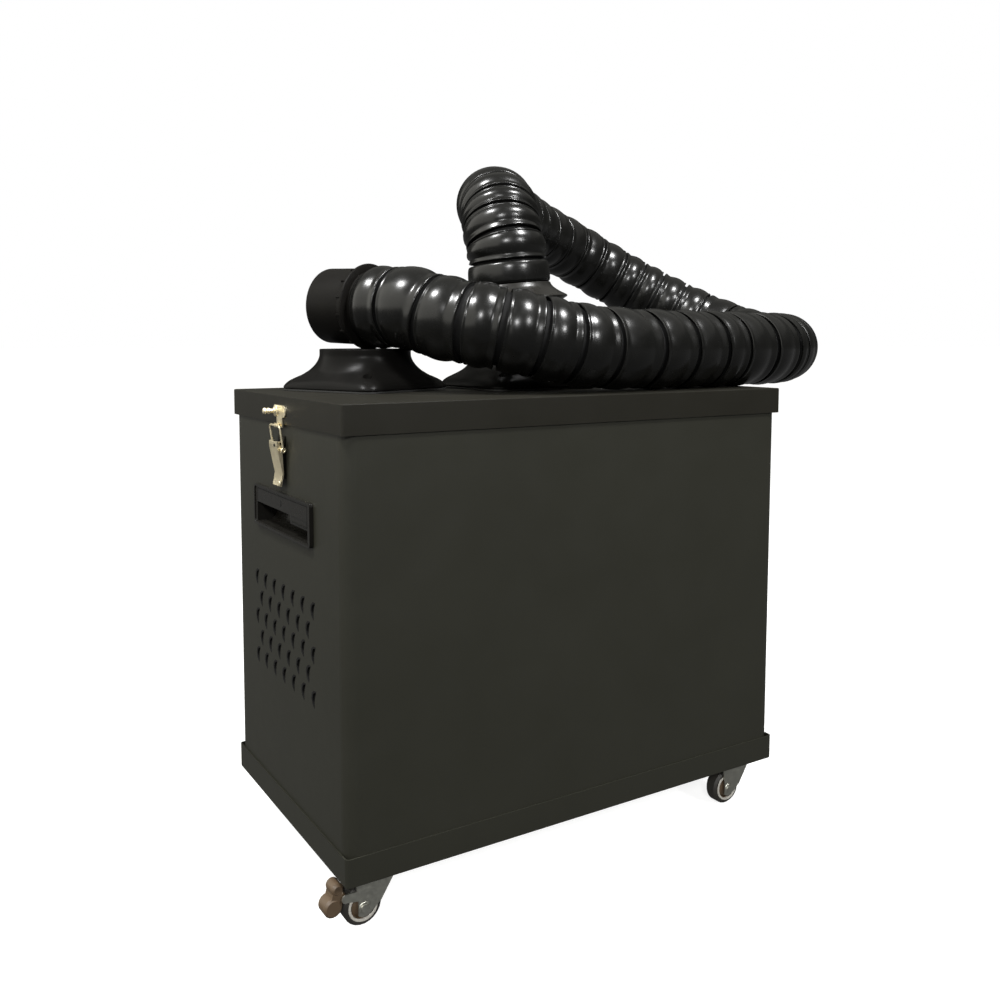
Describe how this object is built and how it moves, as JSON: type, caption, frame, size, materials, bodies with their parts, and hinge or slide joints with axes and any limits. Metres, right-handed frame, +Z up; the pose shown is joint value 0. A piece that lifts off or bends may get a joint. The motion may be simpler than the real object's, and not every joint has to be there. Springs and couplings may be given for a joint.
{
  "type": "smoke purifier",
  "caption": "Portable smoke purifier: a black sheet-steel cabinet on swivel casters, with a latched lid, two inlet flanges and a looped ribbed suction hose.",
  "frame": {"origin": "on the floor, under the middle of the cabinet", "axes": "+X along the long side towards the end with the switch, -Y out of the long front face, +Z up"},
  "size_m": [0.849, 0.4914, 0.764],
  "materials": {
    "powder_coat": "satin black powder coat with a fine grain",
    "black_plastic": "satin moulded plastic",
    "hose_plastic": "glossy black flexible plastic",
    "rubber": "matt black rubber",
    "tyre": "matt black solid tyre",
    "latch_zinc": "pale yellow passivated zinc",
    "bright_zinc": "bright zinc plate",
    "brown_plastic": "satin brown moulded plastic",
    "galvanised_steel": "galvanised sheet",
    "filter_paper": "white filter paper",
    "carbon_foam": "dark grey open foam",
    "circuit_board": "green solder resist",
    "cast_aluminium": "cast, unpainted"
  },
  "bodies": {
    "cabinet": {"base_tray": "powder_coat", "cabinet_shell": "powder_coat", "lid_gasket": "rubber", "carry_handle_left": "black_plastic", "carry_handle_right": "black_plastic", "latch_base_left": "latch_zinc", "latch_base_right": "latch_zinc", "caster_plate_front_left": "bright_zinc", "caster_plate_rear_left": "bright_zinc", "caster_plate_front_right": "bright_zinc", "caster_plate_rear_right": "bright_zinc", "filter_shelf": "galvanised_steel", "carbon_filter": "carbon_foam", "hepa_filter": "filter_paper", "pre_filter": "filter_paper", "blower_housing": "galvanised_steel", "motor": "cast_aluminium", "motor_bracket": "galvanised_steel", "switch_housing": "black_plastic", "control_board": "circuit_board", "power_inlet": "black_plastic", "power_supply": "galvanised_steel"},
    "lid": {"lid": "powder_coat", "inlet_flange_left": "black_plastic", "inlet_flange_right": "black_plastic", "flange_gasket_left": "rubber", "flange_gasket_right": "rubber", "latch_keeper_left": "latch_zinc", "latch_keeper_right": "latch_zinc", "hose_coupling": "black_plastic", "hose": "hose_plastic", "hose_collar": "black_plastic", "hose_end_cuff": "black_plastic"},
    "latch_lever_left": {"latch_lever_left": "latch_zinc"},
    "latch_bail_left": {"latch_bail_left": "latch_zinc"},
    "latch_lever_right": {"latch_lever_right": "latch_zinc"},
    "latch_bail_right": {"latch_bail_right": "latch_zinc"},
    "caster_front_left": {"caster_fork_front_left": "bright_zinc", "caster_axle_front_left": "bright_zinc"},
    "wheel_front_left": {"caster_tyre_front_left": "tyre", "caster_hub_front_left": "brown_plastic"},
    "brake_front_left": {"brake_pedal_front_left": "brown_plastic"},
    "caster_rear_left": {"caster_fork_rear_left": "bright_zinc", "caster_axle_rear_left": "bright_zinc"},
    "wheel_rear_left": {"caster_tyre_rear_left": "tyre", "caster_hub_rear_left": "brown_plastic"},
    "brake_rear_left": {"brake_pedal_rear_left": "brown_plastic"},
    "caster_front_right": {"caster_fork_front_right": "bright_zinc", "caster_axle_front_right": "bright_zinc"},
    "wheel_front_right": {"caster_tyre_front_right": "tyre", "caster_hub_front_right": "brown_plastic"},
    "caster_rear_right": {"caster_fork_rear_right": "bright_zinc", "caster_axle_rear_right": "bright_zinc"},
    "wheel_rear_right": {"caster_tyre_rear_right": "tyre", "caster_hub_rear_right": "brown_plastic"},
    "rocker": {"rocker_switch": "black_plastic"},
    "knob": {"speed_knob": "black_plastic"},
    "fan": {"impeller": "galvanised_steel"}
  },
  "joints": [
    {"name": "lid_lift", "type": "slide", "parent": "cabinet", "child": "lid", "axis": [0, 0, 1], "range_m": [0, 0.12]},
    {"name": "latch_left_lever", "type": "hinge", "parent": "cabinet", "child": "latch_lever_left", "pos_m": [-0.2794, 0, 0.4475], "axis": [0, 1, 0], "range_deg": [0, 120]},
    {"name": "latch_left_bail", "type": "hinge", "parent": "latch_lever_left", "child": "latch_bail_left", "pos_m": [-0.2778, 0, 0.441], "axis": [0, 1, 0], "range_deg": [-120, 0]},
    {"name": "latch_right_lever", "type": "hinge", "parent": "cabinet", "child": "latch_lever_right", "pos_m": [0.2794, 0, 0.4475], "axis": [0, -1, 0], "range_deg": [0, 120]},
    {"name": "latch_right_bail", "type": "hinge", "parent": "latch_lever_right", "child": "latch_bail_right", "pos_m": [0.2778, 0, 0.441], "axis": [0, -1, 0], "range_deg": [-120, 0]},
    {"name": "swivel_front_left", "type": "hinge", "parent": "cabinet", "child": "caster_front_left", "pos_m": [-0.237, -0.123, 0.0464], "axis": [0, 0, 1], "continuous": true},
    {"name": "swivel_rear_left", "type": "hinge", "parent": "cabinet", "child": "caster_rear_left", "pos_m": [-0.237, 0.123, 0.0464], "axis": [0, 0, 1], "continuous": true},
    {"name": "swivel_front_right", "type": "hinge", "parent": "cabinet", "child": "caster_front_right", "pos_m": [0.237, -0.123, 0.0464], "axis": [0, 0, 1], "continuous": true},
    {"name": "swivel_rear_right", "type": "hinge", "parent": "cabinet", "child": "caster_rear_right", "pos_m": [0.237, 0.123, 0.0464], "axis": [0, 0, 1], "continuous": true},
    {"name": "roll_front_left", "type": "hinge", "parent": "caster_front_left", "child": "wheel_front_left", "pos_m": [-0.2485, -0.123, 0.0195], "axis": [0, 1, 0], "continuous": true},
    {"name": "roll_rear_left", "type": "hinge", "parent": "caster_rear_left", "child": "wheel_rear_left", "pos_m": [-0.2255, 0.123, 0.0195], "axis": [0, 1, 0], "continuous": true},
    {"name": "roll_front_right", "type": "hinge", "parent": "caster_front_right", "child": "wheel_front_right", "pos_m": [0.2255, -0.123, 0.0195], "axis": [0, 1, 0], "continuous": true},
    {"name": "roll_rear_right", "type": "hinge", "parent": "caster_rear_right", "child": "wheel_rear_right", "pos_m": [0.2485, 0.123, 0.0195], "axis": [0, 1, 0], "continuous": true},
    {"name": "brake_press_front_left", "type": "hinge", "parent": "caster_front_left", "child": "brake_front_left", "pos_m": [-0.267, -0.123, 0.0328], "axis": [0, 1, 0], "range_deg": [0, 14]},
    {"name": "brake_press_rear_left", "type": "hinge", "parent": "caster_rear_left", "child": "brake_rear_left", "pos_m": [-0.207, 0.123, 0.0328], "axis": [0, -1, 0], "range_deg": [0, 14]},
    {"name": "rocker_press", "type": "hinge", "parent": "cabinet", "child": "rocker", "pos_m": [0.2732, -0.04, 0.27], "axis": [0, -1, 0], "range_deg": [0, 16]},
    {"name": "knob_turn", "type": "hinge", "parent": "cabinet", "child": "knob", "pos_m": [0.2732, 0.03, 0.27], "axis": [1, 0, 0], "range_deg": [0, 270]},
    {"name": "fan_spin", "type": "hinge", "parent": "cabinet", "child": "fan", "pos_m": [0, 0, 0.2162], "axis": [0, 0, 1], "continuous": true}
  ],
  "couplings": [
    {"joint": "latch_left_bail", "follows": "latch_left_lever", "ratio": -1},
    {"joint": "latch_right_bail", "follows": "latch_right_lever", "ratio": -1}
  ]
}
